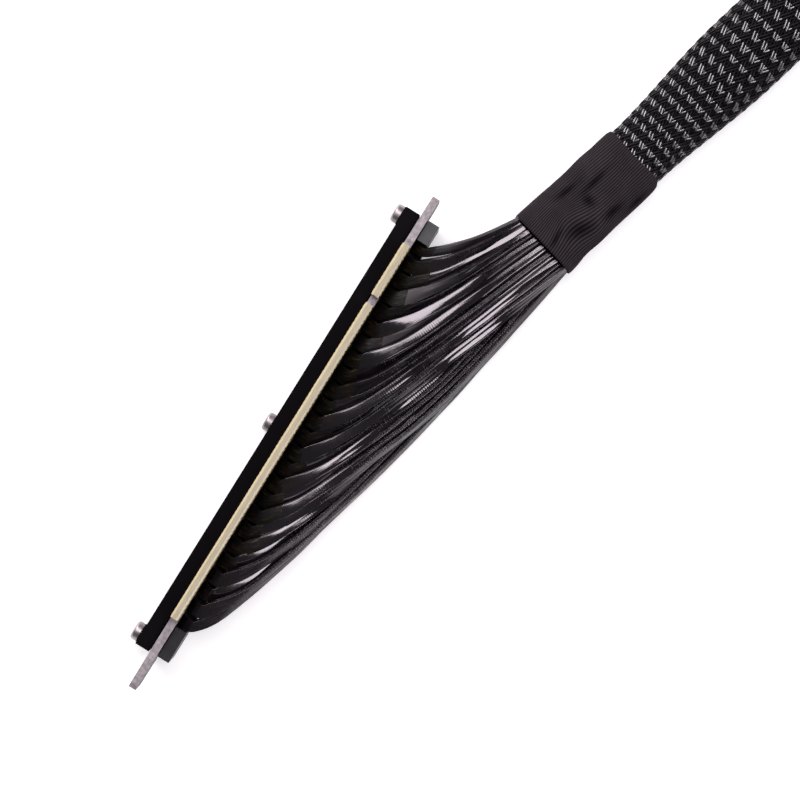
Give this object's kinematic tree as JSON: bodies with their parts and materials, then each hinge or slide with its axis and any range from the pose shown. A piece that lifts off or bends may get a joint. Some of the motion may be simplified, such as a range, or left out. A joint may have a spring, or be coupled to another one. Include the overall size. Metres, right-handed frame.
{
  "type": "pci express riser cable",
  "caption": "Sleeved riser cable: a card edge board with screwed covers, a fan of flat lane cables into a taped collar and braided sleeve, and a board with a card slot on its other end.",
  "frame": {"origin": "bottom centre of the plug-in connector (board, contacts, cover, clamp bar and screws), on the surface that it lies on", "axes": "+X along the card edge towards its short finger segment, the way the cable runs; +Y out of the screw heads; +Z out of the card edge, the way it plugs in"},
  "size_m": [0.4076, 0.0684, 0.026],
  "materials": {
    "card_laminate": "cream glass laminate, silver-plated edges",
    "contact_gold": "gold plate",
    "cover_black": "matte black",
    "bar_black": "satin black",
    "screw_nickel": "bright nickel",
    "lane_jacket": "glossy black wrap",
    "cloth_tape": "ribbed black cloth tape",
    "sleeve_braid": "black monofilament braid",
    "slot_laminate": "black solder mask",
    "slot_plastic": "moulded black"
  },
  "bodies": {
    "root": {"card_board": "card_laminate", "contacts_cable_side": "contact_gold", "contacts_cover_side": "contact_gold", "outer_cover": "cover_black", "clamp_bar": "bar_black", "cover_screws": "screw_nickel", "board_lanes_upper": "lane_jacket", "board_lanes_middle": "lane_jacket", "board_lanes_lower": "lane_jacket", "board_collar": "cloth_tape", "braided_sleeve": "sleeve_braid", "cable_core": "lane_jacket", "slot_collar": "cloth_tape", "slot_lanes_upper": "lane_jacket", "slot_lanes_middle": "lane_jacket", "slot_lanes_lower": "lane_jacket", "slot_board": "slot_laminate", "slot_housing": "slot_plastic", "slot_contacts_front": "contact_gold", "slot_contacts_rear": "contact_gold", "slot_base": "cover_black", "slot_clamp_bar": "bar_black", "slot_screws": "screw_nickel"}
  },
  "joints": []
}
